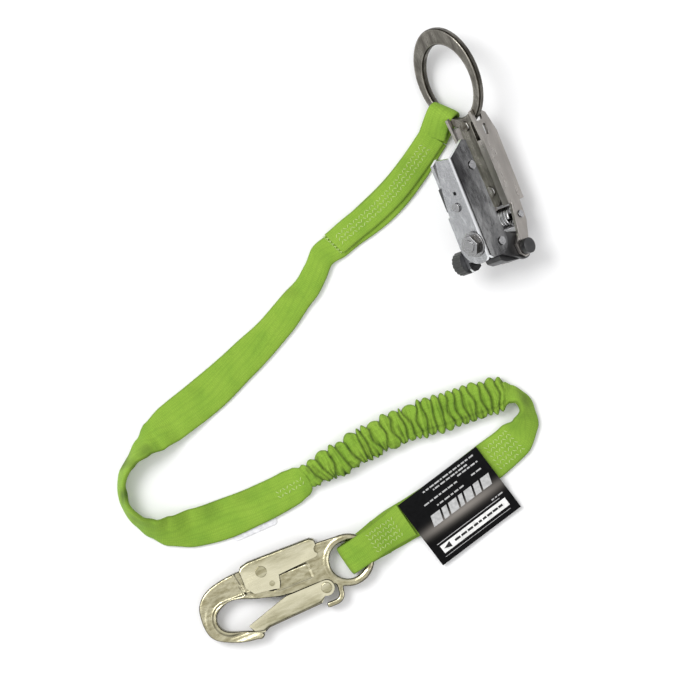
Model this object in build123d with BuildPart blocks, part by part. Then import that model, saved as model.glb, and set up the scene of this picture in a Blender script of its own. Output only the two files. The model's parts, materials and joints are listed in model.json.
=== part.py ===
from build123d import *
import math
import os

os.makedirs("parts", exist_ok=True)

# A shock absorbing lanyard lying flat: a snap hook, a tubular webbing strap with a gathered
# shock absorber, and a rope grab whose ring sits in the strap's other end.
# Millimetres, +Z up, the floor at Z = 0.

# ---- driving dimensions -------------------------------------------------------------------

# snap hook: its own plane has U along the hook towards the eye and V towards the spine
HOOK_AT = (-152.6, -164.3)
FORGING_Z = (3.6, 10.4)
GATE_Z = (2.2, 11.8)
GATE_WALL = 1.0
LOCK_Z = (0.9, 13.1)
LOCK_WALL = 1.0
HOOK_TOP = 14.0
BOW = (17.5, 18.3)
BOW_R = 8.5
BOW_END_ANGLE = 115.0
EYE = (104.8, 25.1)
EYE_HOLE_R = 12.5
EYE_OUTER_R = 17.5
GATE_PIVOT = (84.8, 13.5)
LOCK_PIVOT = (48.4, 39.6)
CROSS_PIN = (52.4, 29.7)
RIVET_R = 2.4
CROSS_PIN_R = 1.3
RUNNING = 0.05
CROSS_PIN_ROOM = 3.2
SPRING_POCKET_Z = 7.6
SPRING_POCKET_R = 4.4
SPRING_COIL_Z = 8.2

# rope grab: rolled about its long axis, with its lower end resting a little lower
GRAB_AT = (112.0, -11.0, 34.85)
GRAB_ROLL = 45.0
GRAB_PITCH = 3.6
SHEET = 2.5
HALF_WIDTH = 12.0
WEB_TOP = 11.0
WEB_LOW = WEB_TOP - SHEET
HINGE = (3.9, 34.9)
HINGE_R = 3.2
TAB_R = 5.2
CAM_PIVOT = (20.0, -25.0)
CAM_PIN_R = 4.0
CAM_HALF = 6.7
LEVER_BASE = -42.0
LEVER_LIP = -26.0
LEVER_SHEET = 2.2
SPRING_PIN = (41.0, -33.0)
SPRING_PIN_R = 2.5
LATCH_RIVET = (1.3, 61.2)
LATCH_RIVET_R = 1.6
BRACKET_RIVET = (30.0, -6.0)
SIDE_RIVET = (83.4, -6.4)
SIDE_RIVET_R = 2.0
SIDE_RIVET_HEAD = 3.0
BRACKET_X = 7.1
RING_CENTRE = (0.0, 142.0, -30.0)
RING_HALF = (26.0, 34.5)
RING_HOLE_HALF = (19.5, 25.5)
RING_HOLE_SHIFT = -2.5
RING_THICK = 5.5
SHANK_HALF = 5.6
SHANK_RIVETS = (61.6, 107.8)
SHANK_RIVET_R = 2.5
KNOB_AT = (25.0, 5.0)
KNOB_R = 8.0
KNOB_STUD_R = 3.0
KNOB_X = (-20.0, -12.3)

# webbing
STRAP_WIDE = 24.0
LOWER_WIDE = 20.0
STRAP_THICK = 5.0
STRAP_Z = 3.3
TAIL_WIDE = 18.6
TAIL_THICK = 2.4
SLEEVE_WIDE = 26.0
SLEEVE_THICK = 13.0
SLEEVE_WALL = 2.4
CORE_WIDE = 19.0
CORE_THICK = 6.0
LOOP_WIDE = 21.0
LOOP_THICK = 2.5
RING_LOOP_WIDE = 13.0
RING_LOOP_INNER = 5.5
RING_LOOP_OUTER = 7.2


# ---- helpers ------------------------------------------------------------------------------

def save(piece, name):
    piece.part.label = name
    export_step(piece.part, f"parts/{name}.step")


def hook_plane(z):
    """The hook's flat plane at height z, with U and V as its sketch axes."""
    return Plane(origin=(HOOK_AT[0], HOOK_AT[1], z))


roll = math.radians(GRAB_ROLL)
pitch = math.radians(GRAB_PITCH)
upright = Vector(0, -math.sin(pitch), math.cos(pitch))
grab_x = Vector(1, 0, 0) * math.cos(roll) + upright * math.sin(roll)
grab_z = Vector(-1, 0, 0) * math.sin(roll) + upright * math.cos(roll)
grab = Plane(origin=GRAB_AT, x_dir=grab_x, z_dir=grab_z)


def facing(z):
    """A plane across the grab's web: sketch axes are the grab's x and y."""
    return grab.offset(z)


def across(x):
    """A plane facing the grab's side: sketch axes are the grab's y and z."""
    return Plane(origin=grab.from_local_coords((x, 0, 0)), x_dir=grab.y_dir, z_dir=grab.x_dir)


def cylinder_between(plane, at, radius, length):
    """A round bar standing on a plane at a sketch point."""
    with BuildSketch(plane) as disc:
        with Locations(at):
            Circle(radius)
    extrude(disc.sketch, amount=length)


# ---- snap hook ----------------------------------------------------------------------------

# forged body: spine, bow and nose, with an eye, a gate lug and a guard finger
SPINE_BACK = [(84, 44), (60, 43.6), (45, 44.6), (31.7, 45.2), (20.8, 44.1), (7.4, 39.6), (0.2, 30.6)]
BOW_OUTSIDE = [(0.2, 30.6), (-0.9, 20), (1.6, 10.1), (10.1, 3.9), (19.6, 0.1), (30, -1.4)]
THROAT_LOW = [(34.2, 3.2), (24.5, 6.6)]
THROAT_HIGH = [(22, 28.6), (34, 25.4), (54, 19.2)]

bow_end = math.radians(BOW_END_ANGLE)
bow_across = BOW_R * math.cos(bow_end)
bow_along = BOW_R * math.sin(bow_end)
bow_low = (BOW[0] + bow_across, BOW[1] - bow_along)
bow_high = (BOW[0] + bow_across, BOW[1] + bow_along)

with BuildPart() as hook_body:
    with BuildSketch(hook_plane(FORGING_Z[0])):
        with BuildLine():
            Spline(*SPINE_BACK)
            Spline(*BOW_OUTSIDE)
            ThreePointArc((30, -1.4), (35.2, 0.0), (34.2, 3.2))
            Spline(*THROAT_LOW, bow_low, tangents=[(-1, 0.25), (-bow_along, -bow_across)])
            ThreePointArc(bow_low, (BOW[0] - BOW_R, BOW[1]), bow_high)
            Spline(bow_high, *THROAT_HIGH, tangents=[(bow_along, -bow_across), (1, -0.3)])
            Polyline((54, 19.2), (62, 18), (84, 18), (84, 44))
        make_face()
        with BuildLine():
            Polyline((83, 17), (94, 12.2), (104.8, 7.7), (104.8, 42.5), (84, 44), (83, 44), (83, 17))
        make_face()
        with Locations(EYE):
            Circle(EYE_OUTER_R)
        with Locations(GATE_PIVOT):
            Circle(5.0)
        with BuildLine():
            FilletPolyline((94, 16), (92.4, 2.0), (80.8, 2.0), radius=5.5)
        trace(line_width=3.6)
    extrude(amount=FORGING_Z[1] - FORGING_Z[0])
    with BuildSketch(hook_plane(0)):
        with Locations(EYE):
            Circle(EYE_HOLE_R)
        with Locations(GATE_PIVOT, LOCK_PIVOT):
            Circle(RIVET_R + RUNNING)
        with Locations(CROSS_PIN):
            Circle(CROSS_PIN_R + CROSS_PIN_ROOM)
    extrude(amount=HOOK_TOP, mode=Mode.SUBTRACT)
    # pockets that hold the two coil springs
    with BuildSketch(hook_plane(SPRING_POCKET_Z)):
        with Locations(GATE_PIVOT, LOCK_PIVOT):
            Circle(SPRING_POCKET_R)
    extrude(amount=HOOK_TOP, mode=Mode.SUBTRACT)
save(hook_body, "hook_body")

# gate: a folded channel, its walls straddling the nose and the lug, open towards the throat
GATE_OUTLINE = [(27.4, 8.6), (30.4, 2.6), (36, 1.2), (40, 2.8), (78, 4.6), (82, 8.8)]
GATE_TOP = [(84.8, 18.5), (58.2, 18.1), (53.9, 17.0), (27.4, 8.6)]

with BuildPart() as hook_gate:
    with BuildSketch(hook_plane(GATE_Z[0])):
        with BuildLine():
            Polyline(*GATE_OUTLINE)
            ThreePointArc((82, 8.8), (89.9, 12.6), (84.8, 18.5))
            Polyline(*GATE_TOP)
        make_face()
    extrude(amount=GATE_Z[1] - GATE_Z[0])
    with BuildSketch(hook_plane(GATE_Z[0] + GATE_WALL)):
        Polygon(
            (20, -6), (36.6, -6), (36.6, 2.6), (40, 4.0), (78.2, 5.8), (78.8, -6), (98, -6), (98, 30),
            (20, 30), align=None,
        )
    extrude(amount=GATE_Z[1] - GATE_Z[0] - 2 * GATE_WALL, mode=Mode.SUBTRACT)
    with BuildSketch(hook_plane(0)):
        with Locations(GATE_PIVOT):
            Circle(RIVET_R + RUNNING)
    extrude(amount=HOOK_TOP, mode=Mode.SUBTRACT)
save(hook_gate, "hook_gate")

# lock lever: a folded channel over the spine's back, with plates that reach down to the pawl
with BuildPart() as hook_lock_lever:
    with BuildSketch(hook_plane(LOCK_Z[0])):
        with BuildLine():
            Polyline(
                (35, 33), (39, 27.5), (52, 25.6), (55.8, 24.6), (57.4, 28), (58.6, 33.4), (86, 35.4),
                (88.4, 37.4), (88.4, 46.8), (86, 48.4), (60, 48.8), (42, 49.0), (36.4, 47.6), (35, 45.6),
                (35, 33),
            )
        make_face()
    extrude(amount=LOCK_Z[1] - LOCK_Z[0])
    with BuildSketch(hook_plane(LOCK_Z[0] + LOCK_WALL)):
        Polygon(
            (30, 20), (95, 20), (95, 47.2), (86, 47.2), (60, 47.6), (42, 47.8), (30, 47.0),
            align=None,
        )
    extrude(amount=LOCK_Z[1] - LOCK_Z[0] - 2 * LOCK_WALL, mode=Mode.SUBTRACT)
    with BuildSketch(hook_plane(0)):
        with Locations(LOCK_PIVOT):
            Circle(RIVET_R + RUNNING)
        with Locations(CROSS_PIN):
            Circle(CROSS_PIN_R)
        # thumb recess at the lever's free end
        with Locations((89.2, 39.6)):
            Circle(3.0)
    extrude(amount=HOOK_TOP, mode=Mode.SUBTRACT)
save(hook_lock_lever, "hook_lock_lever")


def hook_rivet(name, at, shank, head, low, high):
    """A rivet through the hook, with a low round head beyond each face."""
    with BuildPart() as rivet:
        cylinder_between(hook_plane(0.0), at, shank, HOOK_TOP)
        cylinder_between(hook_plane(0.0), at, head, low)
        cylinder_between(hook_plane(high), at, head, HOOK_TOP - high)
        top_edges = rivet.edges().filter_by(GeomType.CIRCLE).group_by(Axis.Z)[-1]
        fillet(top_edges, radius=0.45)
    save(rivet, name)


hook_rivet("gate_rivet", GATE_PIVOT, RIVET_R, 3.6, GATE_Z[0] - 0.3, GATE_Z[1] + 0.3)
hook_rivet("lock_rivet", LOCK_PIVOT, RIVET_R, 3.8, LOCK_Z[0] - 0.3, LOCK_Z[1] + 0.3)

with BuildPart() as lock_cross_pin:
    cylinder_between(hook_plane(LOCK_Z[0]), CROSS_PIN, CROSS_PIN_R, LOCK_Z[1] - LOCK_Z[0])
    cylinder_between(hook_plane(LOCK_Z[1]), CROSS_PIN, 1.9, 0.5)
save(lock_cross_pin, "lock_cross_pin")


def coil(plane, radius, wire, turns, height, legs):
    """A torsion coil about a plane's normal, with a straight leg off each end."""
    with BuildPart() as spring:
        with BuildLine() as path:
            Helix(height / turns, height, radius, center=plane.origin, direction=plane.z_dir)
        start = path.wires()[0]
        with BuildSketch(Plane(origin=start @ 0, z_dir=start % 0)):
            Circle(wire)
        sweep(path=start, is_frenet=True)
        for end, way in ((0, -1), (1, 1)):
            with BuildSketch(Plane(origin=start @ end, z_dir=(start % end) * way)):
                Circle(wire)
            extrude(amount=legs)
    return spring


for name, pivot, leg_way in (("gate_spring", GATE_PIVOT, -1), ("lock_spring", LOCK_PIVOT, 1)):
    coil_at = (HOOK_AT[0] + pivot[0], HOOK_AT[1] + pivot[1], SPRING_COIL_Z)
    coil_plane = Plane(origin=coil_at, x_dir=(0, leg_way, 0))
    save(coil(coil_plane, radius=3.4, wire=0.4, turns=2.0, height=1.8, legs=1.4), name)

# ---- rope grab: housing -------------------------------------------------------------------

# housing angle: the web on top and the side plate that carries the cam bracket
with BuildPart() as grab_housing:
    with BuildSketch(facing(WEB_LOW)):
        with BuildLine():
            Polyline((12, 26.0), (12, 92.7), (-1.5, 94.5), (-2.5, 90), (-7.0, 66), (-8.6, 50), (-9.4, 38))
            ThreePointArc((-9.4, 38), (-5.4, 25.2), (4.0, 21.4))
            Polyline((4.0, 21.4), (8.0, 22.0), (12, 26.0))
        make_face()
    extrude(amount=SHEET)
    with BuildSketch(across(HALF_WIDTH - SHEET)):
        with BuildLine():
            Polyline((26.0, 11.0), (92.7, 11.0), (101.6, -6.0), (100.2, -9.6), (31.0, -12.0))
            ThreePointArc((31.0, -12.0), (24.4, -8.0), (22.0, -1.0))
            Polyline((22.0, -1.0), (22.4, 7.0), (26.0, 11.0))
        make_face()
    extrude(amount=SHEET)
    outer_corner = Axis(GRAB_AT, grab.x_dir + grab.z_dir)
    bend = grab_housing.edges().filter_by(Axis(GRAB_AT, grab.y_dir)).sort_by(outer_corner)[-1]
    fillet(bend, radius=2.2)
    # hinge bolt hole, latch rivet hole, a small index hole and the bracket rivets' holes
    with BuildSketch(facing(0)):
        with Locations(HINGE):
            Circle(HINGE_R)
        with Locations(LATCH_RIVET):
            Circle(LATCH_RIVET_R)
        with Locations((4.2, 70.3)):
            Circle(1.4)
    extrude(amount=WEB_TOP + 2, mode=Mode.SUBTRACT)
    with BuildSketch(across(0)):
        with Locations(BRACKET_RIVET, SIDE_RIVET):
            Circle(SIDE_RIVET_R)
    extrude(amount=HALF_WIDTH + 2, mode=Mode.SUBTRACT)
save(grab_housing, "grab_housing")

# swing plate: turns about the hinge bolt to let the rope in
with BuildPart() as swing_plate:
    with BuildSketch(facing(6.0)):
        with BuildLine():
            Polyline((-12, 24), (-12, 56), (-4, 56), (HINGE[0], HINGE[1] + TAB_R))
            ThreePointArc(
                (HINGE[0], HINGE[1] + TAB_R), (HINGE[0] + TAB_R, HINGE[1]), (HINGE[0], HINGE[1] - TAB_R)
            )
            Polyline((HINGE[0], HINGE[1] - TAB_R), (-3.0, 24.0), (-12, 24))
        make_face()
    extrude(amount=2.3)
    with BuildSketch(across(-HALF_WIDTH)):
        with BuildLine():
            Polyline(
                (19, -2), (17.4, 2), (17.4, 6.0), (20, 8.3), (56, 8.3), (57, 5.7), (92, 5.7), (95, 0),
                (92, -9), (84, -10), (46, -10), (38, -2), (19, -2),
            )
        make_face()
    extrude(amount=SHEET)
    with BuildSketch(facing(0)):
        with Locations(HINGE):
            Circle(HINGE_R + RUNNING)
    extrude(amount=WEB_TOP, mode=Mode.SUBTRACT)
    with BuildSketch(across(-HALF_WIDTH - 1)):
        with Locations(KNOB_AT):
            Circle(KNOB_STUD_R + RUNNING)
    extrude(amount=SHEET + 2, mode=Mode.SUBTRACT)
save(swing_plate, "swing_plate")

# hinge bolt: hex head outside, plain shank, with a washer and a nut
with BuildPart() as hinge_bolt:
    cylinder_between(facing(1.6), HINGE, HINGE_R, 12.0)
    with BuildSketch(facing(WEB_TOP + 1.4)):
        with Locations(HINGE):
            RegularPolygon(radius=7.3, side_count=6)
    extrude(amount=4.4)
    cylinder_between(facing(WEB_TOP + 5.8), HINGE, 4.2, 0.9)
save(hinge_bolt, "hinge_bolt")

with BuildPart() as hinge_washer:
    with BuildSketch(facing(WEB_TOP)):
        with Locations(HINGE):
            Circle(8.6)
            Circle(HINGE_R, mode=Mode.SUBTRACT)
    extrude(amount=1.4)
save(hinge_washer, "hinge_washer")

with BuildPart() as hinge_nut:
    with BuildSketch(facing(2.2)):
        with Locations(HINGE):
            RegularPolygon(radius=5.4, side_count=6)
            Circle(HINGE_R, mode=Mode.SUBTRACT)
    extrude(amount=3.5)
save(hinge_nut, "hinge_nut")

# latch clip: spring steel under the web, its tongue past the web's edge
with BuildPart() as latch_clip:
    with BuildSketch(facing(7.1)):
        with BuildLine():
            Polyline(
                (-10.6, 60.4), (-10.6, 76), (-8.0, 76.6), (-4, 72), (5, 72), (5, 57.2), (-6, 57.2),
                (-10.6, 60.4),
            )
        make_face()
        with Locations(LATCH_RIVET):
            Circle(LATCH_RIVET_R, mode=Mode.SUBTRACT)
    extrude(amount=WEB_LOW - 7.1)
save(latch_clip, "latch_clip")

with BuildPart() as latch_rivet:
    cylinder_between(facing(6.2), LATCH_RIVET, LATCH_RIVET_R, WEB_TOP - 5.0)
    cylinder_between(facing(WEB_TOP), LATCH_RIVET, 3.1, 1.4)
    cylinder_between(facing(6.2), LATCH_RIVET, 2.6, 0.9)
save(latch_rivet, "latch_rivet")

# cam bracket: a cheek plate riveted inside the side plate, carrying the cam pin
with BuildPart() as cam_bracket:
    with BuildSketch(across(BRACKET_X)):
        with BuildLine():
            Polyline((14.6, -20.0), (22.6, -2.5), (37.0, -2.5), (38.0, -9.0), (27.6, -28.0))
            ThreePointArc((27.6, -28.0), (19.0, -33.0), (14.6, -20.0))
        make_face()
        with Locations(CAM_PIVOT):
            Circle(CAM_PIN_R + RUNNING, mode=Mode.SUBTRACT)
        with Locations(BRACKET_RIVET):
            Circle(SIDE_RIVET_R, mode=Mode.SUBTRACT)
    extrude(amount=2.4)
save(cam_bracket, "cam_bracket")

with BuildPart() as side_rivets:
    cylinder_between(across(BRACKET_X), BRACKET_RIVET, SIDE_RIVET_R, HALF_WIDTH - BRACKET_X)
    cylinder_between(across(HALF_WIDTH - SHEET), SIDE_RIVET, SIDE_RIVET_R, SHEET)
    for rivet_at in (BRACKET_RIVET, SIDE_RIVET):
        cylinder_between(across(HALF_WIDTH), rivet_at, SIDE_RIVET_HEAD, 0.9)
save(side_rivets, "side_rivets")

# ---- rope grab: lever, cam and ring --------------------------------------------------------

# cam: an eccentric nose with a ridged rope face
CAM_NOSE = (30.0, -4.0)

with BuildPart() as cam:
    with BuildSketch(across(-CAM_HALF)):
        with BuildLine():
            Polyline((13.4, -25.0), (15.6, -9.0), (18.0, -4.6))
            ThreePointArc((18.0, -4.6), (24.0, -3.6), CAM_NOSE)
            Polyline(CAM_NOSE, (33.5, -9.0), (34.5, -16.0), (31.5, -28.0), (24.0, -31.4))
            ThreePointArc((24.0, -31.4), (15.6, -30.4), (13.4, -25.0))
        make_face()
        # ridges across the rope face
        for step in range(4):
            with Locations((18.6 + 3.2 * step, -3.4)):
                Circle(0.9, mode=Mode.SUBTRACT)
        with Locations(CAM_PIVOT):
            Circle(CAM_PIN_R, mode=Mode.SUBTRACT)
    extrude(amount=2 * CAM_HALF)
save(cam, "cam")

with BuildPart() as cam_pin:
    cylinder_between(across(-12.6), CAM_PIVOT, CAM_PIN_R, 25.2)
    cylinder_between(across(12.3), CAM_PIVOT, 5.2, 4.4)
    cylinder_between(across(-13.4), CAM_PIVOT, 5.0, 1.1)
save(cam_pin, "cam_pin")

# lever channel: base, two sides, two lips with a slot between them, and two arms to the pin
SIDE_TOP = [(52.0, -26.0), (96.0, -26.0), (116.0, -24.0), (118.0, -30.0), (112.0, -38.0), (98.0, -42.0)]
SIDE_ARM = [
    (50.0, -42.0), (50.0, -37.5), (36.0, -36.5), (23.0, -31.0), (15.0, -29.0), (13.6, -24.0),
    (17.0, -19.2), (24.0, -18.4), (30.0, -24.0), (50.0, -28.5),
]

with BuildPart() as lever_channel:
    for x in (-HALF_WIDTH, HALF_WIDTH - LEVER_SHEET):
        with BuildSketch(across(x)):
            with BuildLine():
                Polyline(*SIDE_TOP, *SIDE_ARM, (50.0, -26.0), (52.0, -26.0))
            make_face()
        extrude(amount=LEVER_SHEET)
    with BuildSketch(facing(LEVER_BASE)):
        with Locations((0, 74.0)):
            Rectangle(2 * HALF_WIDTH, 48.0)
    extrude(amount=LEVER_SHEET)
    for side in (-1, 1):
        with BuildSketch(facing(LEVER_LIP - LEVER_SHEET)):
            with Locations((side * 9.2, 73.0)):
                Rectangle(5.6, 46.0)
        extrude(amount=LEVER_SHEET)
    with BuildSketch(across(-HALF_WIDTH - 1)):
        with Locations(CAM_PIVOT):
            Circle(CAM_PIN_R)
        with Locations(SPRING_PIN):
            Circle(SPRING_PIN_R)
    extrude(amount=2 * HALF_WIDTH + 2, mode=Mode.SUBTRACT)
    # the sides straddle the ring's edge
    with BuildSketch(across(-HALF_WIDTH - 1)):
        with Locations((114.5, RING_CENTRE[2])):
            Rectangle(12.0, RING_THICK + 0.7)
    extrude(amount=2 * HALF_WIDTH + 2, mode=Mode.SUBTRACT)
    # inspection slot in the upper side
    with BuildSketch(across(0)):
        with Locations((101.5, -32.0)):
            SlotOverall(8.0, 3.4)
    extrude(amount=HALF_WIDTH + 1, mode=Mode.SUBTRACT)
    with BuildSketch(facing(LEVER_BASE - 1)):
        with Locations((0, SHANK_RIVETS[0])):
            Circle(SHANK_RIVET_R)
    extrude(amount=LEVER_SHEET + 2, mode=Mode.SUBTRACT)
save(lever_channel, "lever_channel")

# attachment ring with its shank
with BuildPart() as attachment_ring:
    with BuildSketch(facing(RING_CENTRE[2] - RING_THICK / 2)):
        with Locations((RING_CENTRE[0], RING_CENTRE[1])):
            Ellipse(*RING_HALF)
        with Locations((0, 87.0)):
            Rectangle(2 * SHANK_HALF, 62.0)
        with Locations((0, 56.0)):
            Circle(SHANK_HALF)
        with Locations((RING_CENTRE[0], RING_CENTRE[1] + RING_HOLE_SHIFT)):
            Ellipse(*RING_HOLE_HALF, mode=Mode.SUBTRACT)
        with Locations((0, SHANK_RIVETS[0]), (0, SHANK_RIVETS[1])):
            Circle(SHANK_RIVET_R, mode=Mode.SUBTRACT)
    extrude(amount=RING_THICK)
    rims = attachment_ring.edges().filter_by(GeomType.ELLIPSE)
    fillet(rims, radius=1.4)
save(attachment_ring, "attachment_ring")

with BuildPart() as shank_rivets:
    cylinder_between(facing(LEVER_BASE - 1.0), (0, SHANK_RIVETS[0]), SHANK_RIVET_R, 15.0)
    cylinder_between(facing(-27.25), (0, SHANK_RIVETS[0]), 3.6, 1.2)
    cylinder_between(facing(LEVER_BASE - 1.0), (0, SHANK_RIVETS[0]), 3.8, 1.0)
    cylinder_between(facing(-33.6), (0, SHANK_RIVETS[1]), SHANK_RIVET_R, 6.4)
    cylinder_between(facing(-27.25), (0, SHANK_RIVETS[1]), 3.6, 1.2)
    cylinder_between(facing(-33.6), (0, SHANK_RIVETS[1]), 3.6, 0.85)
save(shank_rivets, "shank_rivets")

with BuildPart() as spring_pin:
    cylinder_between(across(-12.8), SPRING_PIN, SPRING_PIN_R, 25.6)
save(spring_pin, "spring_pin")

spring_plane = Plane(
    origin=grab.from_local_coords((-6.6, SPRING_PIN[0], SPRING_PIN[1])), x_dir=grab.y_dir, z_dir=grab.x_dir
)
return_spring = coil(spring_plane, 6.6, 1.0, 5.0, 13.0, 0.5)
save(return_spring, "return_spring")

# locking knob: a ribbed head on a stud
with BuildPart() as lock_knob:
    with BuildSketch(across(KNOB_X[0])):
        with Locations(KNOB_AT):
            Circle(KNOB_R)
            with PolarLocations(KNOB_R + 0.5, 18):
                Circle(0.9, mode=Mode.SUBTRACT)
    extrude(amount=KNOB_X[1] - KNOB_X[0])
    cylinder_between(across(KNOB_X[1]), KNOB_AT, KNOB_STUD_R, 2.8)
save(lock_knob, "lock_knob")

# ---- webbing ------------------------------------------------------------------------------

# route of the strap's middle, from the ring's end to the hook's end
UPPER_ROUTE = [
    (110.5, 99.6), (87.3, 83.1), (60.0, 68.9), (22.5, 58.1), (-0.8, 43.1), (-32.9, 22.3), (-63.3, 9.4),
    (-95.8, -3.3), (-122.4, -10.5), (-144.9, -18.0), (-161.6, -26.2), (-169.7, -37.2), (-172.2, -50.6),
    (-167.4, -65.0), (-154.2, -76.8), (-134.7, -81.8), (-113.9, -83.8), (-90.0, -83.3), (-66.2, -81.4),
    (-56.0, -79.1),
]
SLEEVE_ROUTE = [
    (-56.0, -79.1), (-44.3, -76.462), (-24.0, -75.4), (-3.0, -71.4), (20.0, -70.0), (43.4, -71.8),
    (64.0, -73.0), (80.0, -74.3),
]
LOWER_ROUTE = [
    (80.0, -74.3), (95.0, -75.519), (102.5, -88.0), (98.0, -102.0), (83.5, -109.0), (62.9, -114.2),
    (36.0, -122.0), (12.0, -128.1), (-10.3, -131.06), (-22.0, -133.6),
]


def bend_radii(points):
    """Each corner's arc radius, as large as the two runs beside it allow."""
    radii = []
    for before, corner, after in zip(points, points[1:], points[2:]):
        arriving = Vector(*corner) - Vector(*before)
        leaving = Vector(*after) - Vector(*corner)
        turn = math.radians(arriving.get_angle(leaving))
        shorter = min(arriving.length, leaving.length)
        radii.append(0.45 * shorter / math.tan(turn / 2))
    return radii


def square_to(route):
    """The plane across a route's start, its x axis level with the floor."""
    return Plane(origin=route @ 0, x_dir=Vector(0, 0, 1).cross(route % 0), z_dir=route % 0)


def ribbon(points, wide, thick, centre_z, sideways=0.0):
    """A flat strap swept along a route, level with the floor."""
    radii = bend_radii(points)
    with BuildLine(Plane.XY.offset(centre_z)) as path:
        FilletPolyline(*points, radius=radii)
    route = path.wires()[0]
    with BuildSketch(square_to(route)) as section:
        with Locations((sideways, 0)):
            RectangleRounded(wide, thick, min(thick * 0.45, 2.0))
    sweep(section.sketch, path=route)
    return route


def tell(name, points, route):
    print(name, "length", round(route.length, 1), "radii", [round(r, 1) for r in bend_radii(points)])


with BuildPart() as strap_upper:
    upper_path = ribbon(UPPER_ROUTE, STRAP_WIDE, STRAP_THICK, STRAP_Z)
tell("strap_upper", UPPER_ROUTE, upper_path)
save(strap_upper, "strap_upper")

with BuildPart() as strap_tail:
    ribbon(
        UPPER_ROUTE[:4], TAIL_WIDE, TAIL_THICK, STRAP_Z + (STRAP_THICK + TAIL_THICK) / 2, sideways=-2.0
    )
save(strap_tail, "strap_tail")

SLEEVE_Z = SLEEVE_THICK / 2 + 0.3

with BuildPart() as shock_sleeve:
    sleeve_path = ribbon(SLEEVE_ROUTE, SLEEVE_WIDE, SLEEVE_THICK, SLEEVE_Z)
    with BuildSketch(square_to(sleeve_path)):
        RectangleRounded(SLEEVE_WIDE - 2 * SLEEVE_WALL, SLEEVE_THICK - 2 * SLEEVE_WALL, 2.0)
    sweep(path=sleeve_path, mode=Mode.SUBTRACT)
tell("shock_sleeve", SLEEVE_ROUTE, sleeve_path)
save(shock_sleeve, "shock_sleeve")

with BuildPart() as shock_core:
    ribbon(SLEEVE_ROUTE, CORE_WIDE, CORE_THICK, SLEEVE_Z)
save(shock_core, "shock_core")

with BuildPart() as strap_lower:
    lower_path = ribbon(LOWER_ROUTE, LOWER_WIDE, STRAP_THICK, STRAP_Z)
tell("strap_lower", LOWER_ROUTE, lower_path)
save(strap_lower, "strap_lower")

# hook loop: the strap's end folded through the eye, its two layers meeting at the strap
eye_centre = Vector(HOOK_AT[0] + EYE[0], HOOK_AT[1] + EYE[1], 0)
loop_end = Vector(*LOWER_ROUTE[-1], 0)
loop_way = (loop_end - eye_centre).normalized()
loop_plane = Plane(origin=eye_centre, x_dir=loop_way, z_dir=loop_way.cross(Vector(0, 0, 1)))
loop_reach = (loop_end - eye_centre).length
FOLD_BACK = -2.0
LOOP_LOW = 0.1
LOOP_HIGH = 13.9
strap_bottom = STRAP_Z - STRAP_THICK / 2
strap_top = STRAP_Z + STRAP_THICK / 2

with BuildPart() as hook_loop:
    with BuildSketch(loop_plane.offset(-LOOP_WIDE / 2)):
        with BuildLine():
            Polyline(
                (FOLD_BACK + 3, LOOP_LOW), (loop_reach - 8, LOOP_LOW), (loop_reach, strap_bottom),
                (loop_reach, strap_top), (EYE_OUTER_R + 3, LOOP_HIGH), (FOLD_BACK + 3, LOOP_HIGH),
            )
            ThreePointArc((FOLD_BACK + 3, LOOP_HIGH), (FOLD_BACK, 7), (FOLD_BACK + 3, LOOP_LOW))
        make_face()
        with BuildLine():
            Polyline(
                (3.4, LOOP_LOW + LOOP_THICK), (EYE_OUTER_R + 4, LOOP_LOW + LOOP_THICK),
                (EYE_OUTER_R + 2, LOOP_HIGH - LOOP_THICK), (3.4, LOOP_HIGH - LOOP_THICK),
            )
            ThreePointArc((3.4, LOOP_HIGH - LOOP_THICK), (1.0, 7), (3.4, LOOP_LOW + LOOP_THICK))
        make_face(mode=Mode.SUBTRACT)
    extrude(amount=LOOP_WIDE)
save(hook_loop, "hook_loop")

# ring loop: the strap's other end round the ring's lower limb
limb_angle = math.radians(222.0)
limb_half = ((RING_HALF[0] + RING_HOLE_HALF[0]) / 2, (RING_HALF[1] + RING_HOLE_HALF[1]) / 2)
limb_local = (
    limb_half[0] * math.cos(limb_angle),
    RING_CENTRE[1] + RING_HOLE_SHIFT / 2 + limb_half[1] * math.sin(limb_angle),
    RING_CENTRE[2],
)
limb_centre = grab.from_local_coords(limb_local)
limb_way = (
    grab.x_dir * (-limb_half[0] * math.sin(limb_angle)) + grab.y_dir * (limb_half[1] * math.cos(limb_angle))
).normalized()
strap_start = Vector(*UPPER_ROUTE[0], STRAP_Z)
strap_way = (Vector(*UPPER_ROUTE[1], STRAP_Z) - strap_start).normalized()
limb_out = (strap_start - limb_centre) - limb_way * (strap_start - limb_centre).dot(limb_way)
limb_plane = Plane(origin=limb_centre, x_dir=limb_out.normalized(), z_dir=limb_way)

with BuildPart() as ring_loop:
    with BuildSketch(limb_plane.offset(-RING_LOOP_WIDE / 2)):
        Circle(RING_LOOP_OUTER)
    extrude(amount=RING_LOOP_WIDE)
    loop_root = limb_centre + limb_out.normalized() * (RING_LOOP_INNER + 0.2)
    with BuildSketch(Plane(origin=loop_root, x_dir=limb_way, z_dir=limb_out.normalized())):
        Rectangle(RING_LOOP_WIDE - 0.5, 5.0)
    with BuildSketch(Plane(origin=strap_start, x_dir=strap_way.cross(Vector(0, 0, 1)), z_dir=strap_way)):
        Rectangle(STRAP_WIDE - 1.0, STRAP_THICK - 0.4)
    loft()
    with BuildSketch(limb_plane.offset(-RING_LOOP_WIDE / 2 - 2)):
        Circle(RING_LOOP_INNER)
    extrude(amount=RING_LOOP_WIDE + 4, mode=Mode.SUBTRACT)
save(ring_loop, "ring_loop")

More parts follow.
